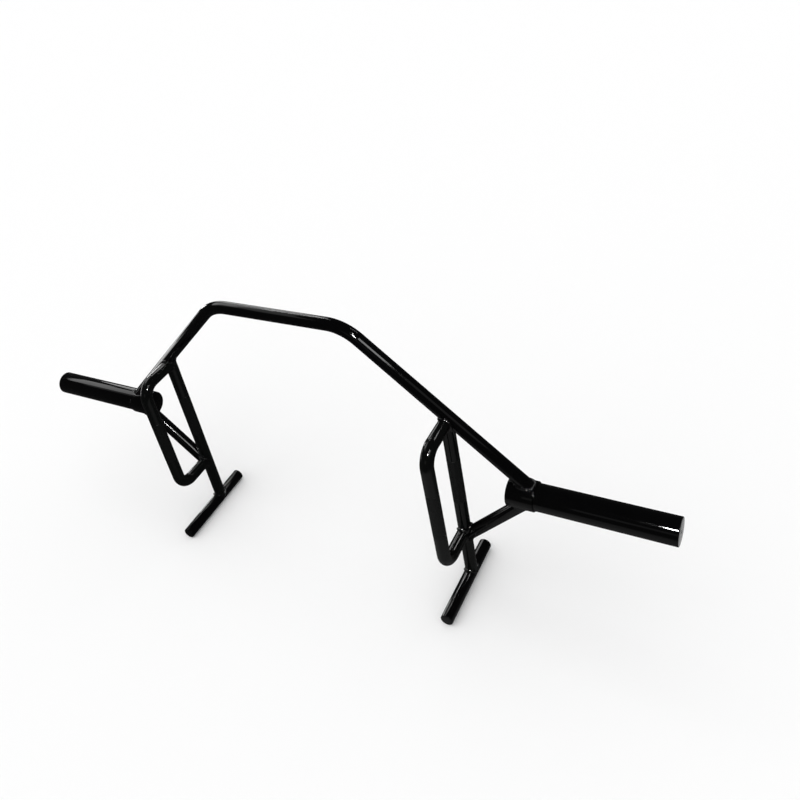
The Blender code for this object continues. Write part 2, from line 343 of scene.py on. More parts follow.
class Turning:
    """A piece turned along X on one side of the bar, from its inner end outwards."""

    def __init__(self, side: Side, centre: Vector, radius: float) -> None:
        """Lay the inner end face.

        Args:
            side: Which side of the bar the piece is on.
            centre: The middle of its inner end.
            radius: The radius there.
        """
        self.out = OUTWARD * side.value
        self.piece = lay_ring(centre, self.out, radius, SLEEVE_SIDES, Element.FACES)
        self.centre = centre.copy()
        self.radius = radius

    def draw(self, length: float, radius: float) -> None:
        """Push the selected end face out, or in where length is negative, to a new radius.

        Args:
            length: How far along the axis.
            radius: The face's radius at its new place.
        """
        bpy.ops.mesh.extrude_region_move(TRANSFORM_OT_translate={"value": self.out * length})
        self.centre += self.out * length
        share = radius / self.radius
        bpy.ops.transform.resize(value=(share, share, share), center_override=self.centre)
        self.radius = radius

    def let_in(self, radius: float) -> None:
        """Step the selected end face in or out to a new radius where it is."""
        self.draw(0.0, radius)

    def ease_rim(self, place: Vector, radius: float, width: float, segments: int) -> None:
        """Round the rim of one radius at one place along the axis.

        Args:
            place: Any point in the rim's plane.
            radius: The rim's radius.
            width: The rounding's width.
            segments: How many faces round it off.
        """

        def on_rim(point: Vector) -> bool:
            """Test the place of a point.

            Args:
                point: The point.

            Returns:
                Whether it lies on the rim.
            """
            offset = point - self.centre
            along = offset.dot(self.out)
            off_axis = (offset - self.out * along).length
            level = (point - place).dot(self.out)
            return abs(level) < PLACE_TOLERANCE and abs(off_axis - radius) < PLACE_TOLERANCE

        select_where(self.piece, Element.EDGES, lambda edge: both_ends(edge, on_rim))
        bpy.ops.mesh.bevel(offset=width, offset_type="OFFSET", segments=segments, affect="EDGES")

    def finish(self) -> bpy.types.Object:
        """Turn every face outwards, leave edit mode and give back the piece."""
        finish_mesh()
        return self.piece


# Finishes


class NodeBench:
    """A material under construction: a Principled shader and the nodes that feed it."""

    def __init__(self, name: str) -> None:
        """Start a material whose patterns lie on Object coordinates.

        Args:
            name: The material's name.
        """
        self.material = bpy.data.materials.new(name)
        self.material.use_nodes = True
        self.tree = self.material.node_tree
        self.shader = self.tree.nodes["Principled BSDF"]
        self.place = self.tree.nodes.new("ShaderNodeTexCoord").outputs["Object"]

    def feed(self, socket: bpy.types.NodeSocket, value: object) -> None:
        """Give an input a value, or link another node's output to it.

        Args:
            socket: The input.
            value: A value or another node's output.
        """
        if isinstance(value, bpy.types.NodeSocket):
            self.tree.links.new(value, socket)
        else:
            socket.default_value = value

    def fill(self, node: bpy.types.Node, inputs: dict[str, object]) -> bpy.types.Node:
        """Give a node's inputs their values or links.

        Args:
            node: The node.
            inputs: A value or another node's output for each input, by name.

        Returns:
            The same node.
        """
        for name, value in inputs.items():
            self.feed(node.inputs[name], value)
        return node

    def add(self, kind: str, inputs: dict[str, object], **settings: object) -> bpy.types.Node:
        """Add a node, set its properties and fill its inputs.

        Args:
            kind: The node's type.
            inputs: A value or another node's output for each input, by name.
            **settings: Properties of the node by name.

        Returns:
            The new node.
        """
        node = self.tree.nodes.new(kind)
        for key, value in settings.items():
            setattr(node, key, value)
        return self.fill(node, inputs)

    def coordinate(self, axis: str) -> bpy.types.NodeSocket:
        """The place on the piece along one axis."""
        return self.add("ShaderNodeSeparateXYZ", {"Vector": self.place}).outputs[axis]

    def noise(self, scale: float, detail: float) -> bpy.types.NodeSocket:
        """A noise pattern from 0 to 1, with scale in features per metre and detail in octaves."""
        inputs = {"Scale": scale, "Detail": detail, "Vector": self.place}
        return self.add("ShaderNodeTexNoise", inputs).outputs["Fac"]

    def map_range(
        self,
        source: bpy.types.NodeSocket,
        given: tuple[float, float],
        wanted: tuple[float, float],
        **settings: object,
    ) -> bpy.types.NodeSocket:
        """Map one range of a value to another, and hold it at the ends.

        Args:
            source: The value.
            given: The range that is mapped.
            wanted: The range that it is mapped to.
            **settings: Properties of the node by name.

        Returns:
            The mapped value.
        """
        inputs = dict(zip(("From Min", "From Max", "To Min", "To Max"), (*given, *wanted)))
        inputs["Value"] = source
        return self.add("ShaderNodeMapRange", inputs, **settings).outputs["Result"]

    def spread(self, source: bpy.types.NodeSocket, low: float, high: float) -> bpy.types.NodeSocket:
        """Map the middle of a pattern's range to run from low to high."""
        return self.map_range(source, NOISE_MIDDLE, (low, high))

    def maths(self, operation: str, first: object, second: object) -> bpy.types.NodeSocket:
        """A Math node on two sockets or numbers.

        Args:
            operation: The node's operation.
            first: A socket or a number.
            second: A socket or a number.

        Returns:
            The result.
        """
        node = self.add("ShaderNodeMath", {}, operation=operation)
        for socket, value in zip(node.inputs, (first, second)):
            self.feed(socket, value)
        return node.outputs["Value"]

    def blend(self, share: bpy.types.NodeSocket, first: object, second: object) -> bpy.types.NodeSocket:
        """A value that goes from the first socket or number to the second as share goes from 0 to 1."""
        inputs = {"Factor": share, "A": first, "B": second}
        return self.add("ShaderNodeMix", inputs, data_type="FLOAT").outputs["Result"]

    def tint(self, share: bpy.types.NodeSocket, first: Sequence[float], second: Sequence[float]) -> None:
        """Colour the shader from one colour to another.

        Args:
            share: 0 gives the first colour and 1 the second.
            first: A linear colour.
            second: A linear colour.
        """
        ramp = self.add("ShaderNodeValToRGB", {"Fac": share})
        for stop, colour in zip(ramp.color_ramp.elements, (first, second)):
            stop.color = (*colour, 1.0)
        self.fill(self.shader, {"Base Color": ramp.outputs["Color"]})

    def relief(self, height: bpy.types.NodeSocket, depth: float) -> None:
        """Raise a pattern as bump on the shader, over any bump that is there already.

        Args:
            height: The pattern.
            depth: How far it stands up, in metres.
        """
        inputs = {"Distance": depth, "Height": height}
        for link in self.shader.inputs["Normal"].links:
            inputs["Normal"] = link.from_socket
        bump = self.add("ShaderNodeBump", inputs)
        self.fill(self.shader, {"Normal": bump.outputs["Normal"]})


@dataclass(frozen=True)
class Finish:
    """A material and the name of its slot."""

    slot: str
    material: bpy.types.Material


@dataclass(frozen=True)
class GlossPaint:
    """Gloss black paint with a trace of orange peel.

    Clouding, dulling, settling and peel are noises: features per metre, then octaves.
    """

    name: str = "gloss_black_paint"
    slot: str = "frame_paint"
    deep: tuple[float, float, float] = (0.0006, 0.0006, 0.0007)
    pale: tuple[float, float, float] = (0.0013, 0.0013, 0.0014)
    clouding: tuple[float, float] = (35.0, 3.0)
    smoothest: float = 0.045
    dullest: float = 0.085
    dulling: tuple[float, float] = (55.0, 4.0)
    reflectance: float = 0.25
    peel: tuple[float, float] = (420.0, 2.0)
    peel_depth: float = 0.000012
    settling: tuple[float, float] = (70.0, 1.0)
    settle_depth: float = 0.00004

    def build(self) -> Finish:
        """Make the paint's material.

        Returns:
            The material with its slot.
        """
        bench = NodeBench(self.name)
        self.lay(bench)
        return Finish(self.slot, bench.material)

    def lay(self, bench: NodeBench) -> None:
        """Lay the paint's colour, gloss and relief.

        Args:
            bench: The material under construction.
        """
        bench.tint(bench.noise(*self.clouding), self.deep, self.pale)
        gloss = {"Specular IOR Level": self.reflectance, "Roughness": self.gloss(bench)}
        bench.fill(bench.shader, gloss)
        bench.relief(bench.noise(*self.settling), self.settle_depth)
        bench.relief(bench.noise(*self.peel), self.peel_depth)

    def gloss(self, bench: NodeBench) -> bpy.types.NodeSocket:
        """The roughness pattern of the bare paint."""
        return bench.spread(bench.noise(*self.dulling), self.smoothest, self.dullest)


@dataclass(frozen=True)
class SleevePaint(GlossPaint):
    """The gloss paint over the faint rings that the lathe left on the sleeve's end face."""

    name: str = "gloss_black_sleeve_paint"
    slot: str = "sleeve_paint"
    axis: tuple[float, float, float] = (0.0, 0.0, 0.0)
    end_x: float = 0.0
    ring_scale: float = 260.0
    ring_wobble: float = 0.4
    ring_depth: float = 0.00003

    def lay(self, bench: NodeBench) -> None:
        """Lay the paint, then the rings on the end faces.

        Args:
            bench: The material under construction.
        """
        super().lay(bench)
        to_axis = {"Location": [-value for value in self.axis], "Vector": bench.place}
        centred = bench.add("ShaderNodeMapping", to_axis, vector_type="POINT").outputs["Vector"]
        pattern = {"Scale": self.ring_scale, "Distortion": self.ring_wobble, "Vector": centred}
        rings = bench.add("ShaderNodeTexWave", pattern, wave_type="RINGS", rings_direction="X")
        beyond = bench.maths("GREATER_THAN", bench.maths("ABSOLUTE", bench.coordinate("X"), 0.0), self.end_x)
        bench.relief(bench.maths("MULTIPLY", rings.outputs["Fac"], beyond), self.ring_depth)


@dataclass(frozen=True)
class GripPaint(GlossPaint):
    """The gloss paint of the grips, dull where it lies on the knurling and just past its ends."""

    name: str = "knurled_grip_paint"
    slot: str = "grip_paint"
    deep: tuple[float, float, float] = (0.0020, 0.0023, 0.0022)
    band_low: float = 0.215
    band_high: float = 0.320
    band_edge: float = 0.0015
    band_smoothest: float = 0.26
    band_dullest: float = 0.36
    band_dulling: tuple[float, float] = (300.0, 2.0)
    band_pale: tuple[float, float, float] = (0.0026, 0.0030, 0.0029)

    def lay(self, bench: NodeBench) -> None:
        """Lay the paint, then dull it and lift its colour over the band.

        Args:
            bench: The material under construction.
        """
        super().lay(bench)
        height = bench.coordinate("Z")
        rise = (self.band_low - self.band_edge, self.band_low)
        fall = (self.band_high, self.band_high + self.band_edge)
        above = bench.map_range(height, rise, (0.0, 1.0), interpolation_type="SMOOTHSTEP")
        below = bench.map_range(height, fall, (1.0, 0.0), interpolation_type="SMOOTHSTEP")
        inside = bench.maths("MULTIPLY", above, below)
        worn = bench.spread(bench.noise(*self.band_dulling), self.band_smoothest, self.band_dullest)
        bench.fill(bench.shader, {"Roughness": bench.blend(inside, self.gloss(bench), worn)})
        bench.tint(inside, self.deep, self.band_pale)


@dataclass(frozen=True)
class WeldPaint(GlossPaint):
    """The gloss paint where it has pooled over the ripples of the weld beads."""

    name: str = "weld_bead_paint"
    slot: str = "weld_paint"
    smoothest: float = 0.05
    dullest: float = 0.12
    reflectance: float = 0.6
    peel: tuple[float, float] = (900.0, 2.0)
    peel_depth: float = 0.00002


@dataclass(frozen=True)
class Finishes:
    """The finishes of the bar, each made once."""

    frame: Finish
    sleeve: Finish
    grip: Finish
    weld: Finish


def fit_out(piece: bpy.types.Object, name: str, node: str, finish: Finish) -> bpy.types.Object:
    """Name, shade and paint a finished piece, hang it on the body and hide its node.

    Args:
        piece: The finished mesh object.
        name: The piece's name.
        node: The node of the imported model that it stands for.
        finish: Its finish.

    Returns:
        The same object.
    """
    work_on(piece)
    piece.name = name
    piece.data.name = name
    bpy.ops.object.shade_smooth_by_angle(angle=SHARP_ANGLE)
    piece.data.materials.clear()
    piece.data.materials.append(finish.material)
    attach(piece, BODY)
    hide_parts(node)
    LOG.info("%s stands for %s with %d faces", name, node, len(piece.data.polygons))
    return piece


# The plan of the frame


@dataclass(frozen=True)
class FramePlan:
    """Sizes and places that the sub-assemblies share, for the right side where they have one."""

    bar_radius: float
    post_x: float
    frame_y: float
    foot_height: float
    foot_front: float
    foot_rear: float
    top_height: float
    handle_top: float
    handle_bottom: float
    sleeve_height: float
    sleeve_end: float
    hub_inner: float
    hub_outer: float
    sleeve_radius: float = 0.025
    hub_radius: float = 0.0275
    corner_x: float = 0.147
    leg_seat_inset: float = 0.020
    brace_drop: float = 0.0145
    brace_seat_inset: float = 0.0288
    handle_reach: float = 0.0925

    @classmethod
    def from_frame(cls) -> "FramePlan":
        """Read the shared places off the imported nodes.

        Returns:
            The plan.
        """
        post_low, post_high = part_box("right_post")
        foot_low, foot_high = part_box("right_foot")
        handle_low, handle_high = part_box("right_d_handle")
        sleeve_low, sleeve_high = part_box("right_sleeve")
        hub_low, hub_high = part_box("right_hub")
        radius = (post_high.x - post_low.x) / 2
        handle_edge = (handle_high.x - handle_low.x) / 2
        return cls(
            bar_radius=radius,
            post_x=(post_low.x + post_high.x) / 2,
            frame_y=(post_low.y + post_high.y) / 2,
            foot_height=(foot_low.z + foot_high.z) / 2,
            foot_front=foot_low.y,
            foot_rear=foot_high.y,
            top_height=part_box("top_bar")[1].z - handle_edge,
            handle_top=handle_high.z - handle_edge,
            handle_bottom=handle_low.z + handle_edge,
            sleeve_height=(sleeve_low.z + sleeve_high.z) / 2,
            sleeve_end=sleeve_high.x,
            hub_inner=hub_low.x,
            hub_outer=hub_high.x,
        )

    def spot(self, side: Side, x: float, height: float) -> Vector:
        """The point in the frame's plane at a distance to one side and a height."""
        return Vector((side.value * x, self.frame_y, height))

    def leg(self, side: Side) -> Run:
        """The top bar's sloping run, from its seat on the collar up to the corner."""
        seat = self.spot(side, self.hub_outer - self.leg_seat_inset, self.sleeve_height + self.hub_radius)
        return Run(seat, self.spot(side, self.corner_x, self.top_height), self.bar_radius)

    def hub(self, side: Side) -> Run:
        """The collar, from its inner end outwards."""
        inner, outer = (self.spot(side, x, self.sleeve_height) for x in (self.hub_inner, self.hub_outer))
        return Run(inner, outer, self.hub_radius)

    def post(self, side: Side) -> Run:
        """Place the upright.

        Args:
            side: Which side's.

        Returns:
            The run from the leg's axis down to the foot bar's.
        """
        leg = self.leg(side)
        share = (side.value * self.post_x - leg.start.x) / (leg.end.x - leg.start.x)
        top = leg.start.lerp(leg.end, share)
        return Run(top, Vector((top.x, top.y, self.foot_height)), self.bar_radius)

    def foot(self, side: Side) -> Run:
        """Place the foot bar.

        Args:
            side: Which side's.

        Returns:
            The run from front to rear.
        """
        x = side.value * self.post_x
        front, rear = (Vector((x, y, self.foot_height)) for y in (self.foot_front, self.foot_rear))
        return Run(front, rear, self.bar_radius)

    def handle_arm(self, side: Side, height: float) -> Run:
        """One of the D-handle's level arms, from the post forwards."""
        root = self.spot(side, self.post_x, height)
        return Run(root, root + FORWARD * self.handle_reach, self.bar_radius)

    def brace(self, side: Side) -> Run:
        """Place the strut.

        Args:
            side: Which side's.

        Returns:
            The run from the post out and up to the collar.
        """
        foot = self.spot(side, self.post_x, self.handle_bottom - self.brace_drop)
        seat = self.spot(side, self.hub_outer - self.brace_seat_inset, self.sleeve_height - self.hub_radius)
        return Run(foot, seat, self.bar_radius)


# Sub-assemblies


@dataclass
class TopBar:
    """The bent bar that joins both collars: a level run, two bends and two sloping legs."""

    plan: FramePlan
    finishes: Finishes
    bend_radius: float = 0.088
    overrun: float = 0.025

    def build(self) -> bpy.types.Object:
        """Draw the bar through its two bends and cut its ends to the collars.

        Returns:
            The dressed piece.
        """
        left = self.plan.leg(Side.LEFT)
        right = self.plan.leg(Side.RIGHT)
        corners = [left.at(-self.overrun), left.end, right.end, right.at(-self.overrun)]
        bar = draw_along(corners, self.plan.bar_radius, self.bend_radius)
        cope(bar, [self.plan.hub(side).longer(self.overrun) for side in Side])
        return fit_out(bar, "bent_top_bar", "top_bar", self.finishes.frame)


@dataclass
class SideAssembly:
    """A sub-assembly that both sides of the bar have."""

    plan: FramePlan
    finishes: Finishes
    side: Side

    def fit(self, piece: bpy.types.Object, name: str, node: str, finish: Finish) -> bpy.types.Object:
        """Fit out a piece, with the side's word before its name and its node's."""
        word = self.side.name.lower()
        return fit_out(piece, f"{word}_{name}", f"{word}_{node}", finish)


@dataclass
class PlateSleeve(SideAssembly):
    """The solid sleeve that takes the plates, and the collar round its inner end."""

    rim: float = 0.0012
    rim_segments: int = 4
    hole_radius: float = 0.0032
    hole_depth: float = 0.0036
    pilot_radius: float = 0.0012
    pilot_depth: float = 0.0054
    bore_gap: float = 0.0003

    def build(self) -> list[bpy.types.Object]:
        """Turn the sleeve and its collar."""
        return [self.build_sleeve(), self.build_collar()]

    def build_sleeve(self) -> bpy.types.Object:
        """Turn the sleeve, drill its centre hole and ease its rims.

        Returns:
            The dressed sleeve.
        """
        plan = self.plan
        hub = plan.hub(self.side)
        turning = Turning(self.side, hub.start, plan.sleeve_radius)
        turning.draw(plan.sleeve_end - plan.hub_inner, plan.sleeve_radius)
        end = turning.centre.copy()
        turning.let_in(self.hole_radius)
        turning.draw(-self.hole_depth, self.pilot_radius)
        turning.draw(-self.pilot_depth, self.pilot_radius)
        for place in (end, hub.start):
            turning.ease_rim(place, plan.sleeve_radius, self.rim, self.rim_segments)
        return self.fit(turning.finish(), "plate_sleeve", "sleeve", self.finishes.sleeve)

    def build_collar(self) -> bpy.types.Object:
        """Turn the collar, bore it through and ease its rims.

        Returns:
            The dressed collar.
        """
        hub = self.plan.hub(self.side)
        bore = self.plan.sleeve_radius + self.bore_gap
        turning = Turning(self.side, hub.start, bore)
        turning.let_in(hub.radius)
        turning.draw(hub.length, hub.radius)
        turning.let_in(bore)
        end_middles = [hub.start, hub.end]

        def is_bore_end(face: bmesh.types.BMFace) -> bool:
            """Whether a face closes the bore at one of its ends."""
            middle = face.calc_center_median()
            return any((middle - place).length < PLACE_TOLERANCE for place in end_middles)

        select_where(turning.piece, Element.FACES, is_bore_end)
        bpy.ops.mesh.bridge_edge_loops()
        for place in end_middles:
            turning.ease_rim(place, hub.radius, self.rim, self.rim_segments)
        return self.fit(turning.finish(), "weld_collar", "hub", self.finishes.frame)


@dataclass
class Knurling:
    """A band of raised diamonds round an upright stretch of bar."""

    low: float = GripPaint.band_low
    high: float = GripPaint.band_high
    rows: int = 70
    depth: float = 0.00022

    def draw_through(self, bar: DrawnBar, end_height: float) -> None:
        """Draw an upright run down or up to a height, with the band's rows in it.

        Args:
            bar: The bar being drawn, which heads straight down or up.
            end_height: Height of the run's end.
        """
        going_down = bar.heading.z < 0
        first = self.high if going_down else self.low
        bar.run(abs(bar.end.z - first))
        bar.run(self.high - self.low, self.rows)
        bar.run(abs(bar.end.z - end_height))

    def roll(self, piece: bpy.types.Object) -> None:
        """Raise the diamonds: poke the rows, open the old edges, and poke the diamonds.

        Args:
            piece: The bar, whose band has plain rows.
        """
        open_for_editing(piece)
        select_where(piece, Element.FACES, self.in_band)
        bpy.ops.mesh.poke(offset=0.0, use_relative_offset=False)
        select_where(piece, Element.EDGES, self.is_square_edge)
        bpy.ops.mesh.dissolve_edges(use_verts=False)
        select_where(piece, Element.FACES, self.in_band)
        bpy.ops.mesh.poke(offset=self.depth, use_relative_offset=False)
        close_editing()

    def in_band(self, face: bmesh.types.BMFace) -> bool:
        """Whether a face lies wholly within the band."""
        margin = PLACE_TOLERANCE
        return all(self.low - margin < vertex.co.z < self.high + margin for vertex in face.verts)

    def is_square_edge(self, edge: bmesh.types.BMEdge) -> bool:
        """Find the band's square edges, which poking leaves between the rows.

        Args:
            edge: An edge of the bar.

        Returns:
            Whether it lies in the band and runs level or upright, not across a face.
        """
        one, other = (vertex.co for vertex in edge.verts)
        if not all(self.in_band(face) for face in edge.link_faces):
            return False
        level = abs(one.z - other.z) < PLACE_TOLERANCE
        upright = (one.xy - other.xy).length < PLACE_TOLERANCE
        return level or upright


@dataclass
class GripSide(SideAssembly):
    """One side's uprights and struts: post, D-handle, brace and foot bar."""

    knurling: Knurling = field(default_factory=Knurling)
    handle_bend_radius: float = 0.032
    foot_rim: float = 0.0016
    foot_rim_segments: int = 5
    overrun: float = 0.025

    def build(self) -> list[bpy.types.Object]:
        """Make the side's four bars."""
        return [self.build_post(), self.build_handle(), self.build_brace(), self.build_foot()]

    def build_post(self) -> bpy.types.Object:
        """Draw the upright, knurl its middle and cope both ends.

        Returns:
            The dressed post.
        """
        plan = self.plan
        run = plan.post(self.side)
        bar = DrawnBar(run.start, run.heading, run.radius)
        self.knurling.draw_through(bar, run.end.z)
        post = bar.finish()
        cope(post, [plan.leg(self.side), plan.foot(self.side)])
        self.knurling.roll(post)
        return self.fit(post, "grip_post", "post", self.finishes.grip)

    def build_handle(self) -> bpy.types.Object:
        """Bend the D-handle from one bar, knurl its grip and cope both arms.

        Returns:
            The dressed handle.
        """
        plan = self.plan
        top = plan.handle_arm(self.side, plan.handle_top)
        bottom = plan.handle_arm(self.side, plan.handle_bottom)
        straight = top.length - self.handle_bend_radius
        bar = DrawnBar(top.start, FORWARD, top.radius)
        bar.run(straight)
        bar.bend(-UP, self.handle_bend_radius)
        self.knurling.draw_through(bar, bottom.end.z + self.handle_bend_radius)
        bar.bend(-FORWARD, self.handle_bend_radius)
        bar.run(straight)
        handle = bar.finish()
        cope(handle, [plan.post(self.side), plan.leg(self.side)])
        self.knurling.roll(handle)
        return self.fit(handle, "grip_handle", "d_handle", self.finishes.grip)

    def build_brace(self) -> bpy.types.Object:
        """Draw the strut and cope it to the post, the D-handle's arm and the collar.

        Returns:
            The dressed brace.
        """
        plan = self.plan
        run = plan.brace(self.side)
        bar = DrawnBar(run.start, run.heading, run.radius)
        bar.run(run.length + self.overrun)
        brace = bar.finish()
        hub = plan.hub(self.side).longer(self.overrun)
        cope(brace, [plan.post(self.side), hub, plan.handle_arm(self.side, plan.handle_bottom)])
        return self.fit(brace, "strut", "brace", self.finishes.frame)

    def build_foot(self) -> bpy.types.Object:
        """Draw the foot bar and round its end rims.

        Returns:
            The dressed foot bar.
        """
        run = self.plan.foot(self.side)
        bar = DrawnBar(run.start, run.heading, run.radius)
        bar.run(run.length)
        foot = bar.finish()

        def on_rim(edge: bmesh.types.BMEdge) -> bool:
            """Whether an edge lies on an end's rim."""
            return any(
                both_ends(edge, lambda point, end=end: abs(point.y - end) < PLACE_TOLERANCE)
                for end in (run.start.y, run.end.y)
            )

        open_for_editing(foot)
        select_where(foot, Element.EDGES, on_rim)
        bpy.ops.mesh.bevel(
            offset=self.foot_rim, offset_type="OFFSET", segments=self.foot_rim_segments, affect="EDGES"
        )
        close_editing()
        return self.fit(foot, "foot_rest", "foot", self.finishes.frame)


@dataclass
class WeldBead:
    """A rippled bead round the joint where one bar lands on others."""

    name: str
    member: Run
    carriers: Sequence[Run]
    radius: float = 0.0040
    standoff: float = 0.0012
    flush_shrink: float = 0.6
    corner_growth: float = 0.3
    stations: int = 24
    smoothing: int = 2
    sight_line: float = 0.100
    ripple_pitch: float = 0.0022
    ripple_depth: float = 0.05
    ripple_fullness: float = 0.7
    rings_per_ripple: int = 5
    sides: int = 14

    def corner_loop(self) -> tuple[list[Vector], list[float]]:
        """Trace the joint round the member.

        Returns:
            The bead's centre points and its relative sizes, station by station.
        """
        heading = self.member.heading
        sideways = heading.orthogonal().normalized()
        across = heading.cross(sideways)
        start = self.member.at(self.sight_line)
        points, sizes = [], []
        for station in range(self.stations):
            angle = math.tau * station / self.stations
            spoke = sideways * math.cos(angle) + across * math.sin(angle)
            on_side = start + spoke * self.member.radius
            reach, carrier = min(
                ((rod.reach_along(on_side, -heading), rod) for rod in self.carriers),
                key=lambda hit: hit[0],
            )
            corner = on_side - heading * reach
            away = carrier.spoke(corner)
            alignment = spoke.dot(away)
            shrink = self.flush_shrink if alignment > 0 else self.corner_growth
            size = 1.0 - shrink * alignment
            points.append(corner + (spoke + away) * self.standoff * size)
            sizes.append(size)
        for _ in range(self.smoothing):
            middles = [(points[i - 1] + points[(i + 1) % len(points)]) / 2 for i in range(len(points))]
            points = [(point + middle) / 2 for point, middle in zip(points, middles)]
        return points, sizes

    def lay(self) -> bpy.types.Object:
        """Lay a torus along the joint, one ring at a time, with a ripple every pitch.

        A torus takes 256 rings at most, and the longest beads have 255.

        Returns:
            The bead's mesh object.
        """
        points, sizes = self.corner_loop()
        length = sum((points[i] - points[i - 1]).length for i in range(len(points)))
        ripples = round(length / self.ripple_pitch)
        rings = ripples * self.rings_per_ripple
        deselect_all()
        bpy.ops.mesh.primitive_torus_add(
            major_segments=rings,
            minor_segments=self.sides,
            major_radius=self.member.radius,
            minor_radius=self.radius,
        )
        bead = bpy.context.object
        for ring in range(rings):
            share = ring / rings
            centre = around(points, share)
            ahead = (around(points, share + 0.5 / rings) - around(points, share - 0.5 / rings)).normalized()
            spoke = self.member.spoke(centre)
            spoke = (spoke - ahead * spoke.dot(ahead)).normalized()
            rise = ahead.cross(spoke)
            lobe = abs(math.sin(math.pi * ring / self.rings_per_ripple)) ** self.ripple_fullness
            thickness = self.radius * around(sizes, share) * (1.0 - self.ripple_depth * (1.0 - lobe))
            for step in range(self.sides):
                angle = math.tau * step / self.sides
                offset = spoke * math.cos(angle) + rise * math.sin(angle)
                bead.data.vertices[ring * self.sides + step].co = centre + offset * thickness
        open_for_editing(bead)
        finish_mesh()
        return bead


def around(loop: Sequence[Vector | float], share: float) -> Vector | float:
    """A smooth curve through a closed loop of points or numbers.

    Args:
        loop: The points or numbers, evenly spaced round the loop.
        share: How far round, where 1 is once round.

    Returns:
        The point or number there.
    """
    place = share * len(loop)
    base = math.floor(place)
    t = place - base
    before, start, end, after = (loop[(base + step) % len(loop)] for step in (-1, 0, 1, 2))
    slope_in = (end - before) * 0.5
    slope_out = (after - start) * 0.5
    return (
        start * (2 * t**3 - 3 * t**2 + 1)
        + slope_in * (t**3 - 2 * t**2 + t)
        + end * (3 * t**2 - 2 * t**3)
        + slope_out * (t**3 - t**2)
    )


@dataclass
class SideWelds(SideAssembly):
    """The seven beads of one side."""

    def build(self) -> list[bpy.types.Object]:
        """Lay and dress every bead of the side.

        Returns:
            The dressed beads.
        """
        plan = self.plan
        side = self.side
        leg = plan.leg(side)
        post = plan.post(side)
        hub = plan.hub(side)
        foot = plan.foot(side)
        brace = plan.brace(side)
        beads = [
            WeldBead("handle_top_weld", plan.handle_arm(side, plan.handle_top), [post, leg]),
            WeldBead("post_top_weld", post, [leg]),
            WeldBead("handle_bottom_weld", plan.handle_arm(side, plan.handle_bottom), [post]),
            WeldBead("brace_foot_weld", brace, [post]),
            WeldBead("brace_hub_weld", Run(brace.end, brace.start, brace.radius), [hub]),
            WeldBead("leg_hub_weld", leg, [hub]),
            WeldBead("foot_weld", Run(post.end, post.start, post.radius), [foot]),
        ]
        return [self.fit(bead.lay(), f"{bead.name}_bead", bead.name, self.finishes.weld) for bead in beads]


# Studio


def put_in_scene(name: str, data: bpy.types.ID) -> bpy.types.Object:
    """Make an object and link it to the scene.

    Args:
        name: The object's name.
        data: Its lamp or camera.

    Returns:
        The object.
    """
    thing = bpy.data.objects.new(name, data)
    bpy.context.scene.collection.objects.link(thing)
    return thing


@dataclass(frozen=True)
class Panel:
    """A lit panel that shows only as a reflection in the paint."""

    name: str
    place: tuple[float, float, float]
    size: tuple[float, float]
    radiance: float
    faces: tuple[float, float, float] = (0.0, 0.0, -1.0)

    def hang(self) -> None:
        """Hang the panel facing its way. On one that faces down, the second size lies along Y."""
        lamp = bpy.data.lights.new(self.name, "AREA")
        lamp.shape = "RECTANGLE"
        lamp.size, lamp.size_y = self.size
        lamp.energy = self.radiance * self.size[0] * self.size[1] * math.pi
        panel = put_in_scene(self.name, lamp)
        panel.location = self.place
        panel.rotation_euler = Vector(self.faces).to_track_quat("-Z", "Y").to_euler()
        panel.visible_camera = False
        panel.visible_diffuse = False


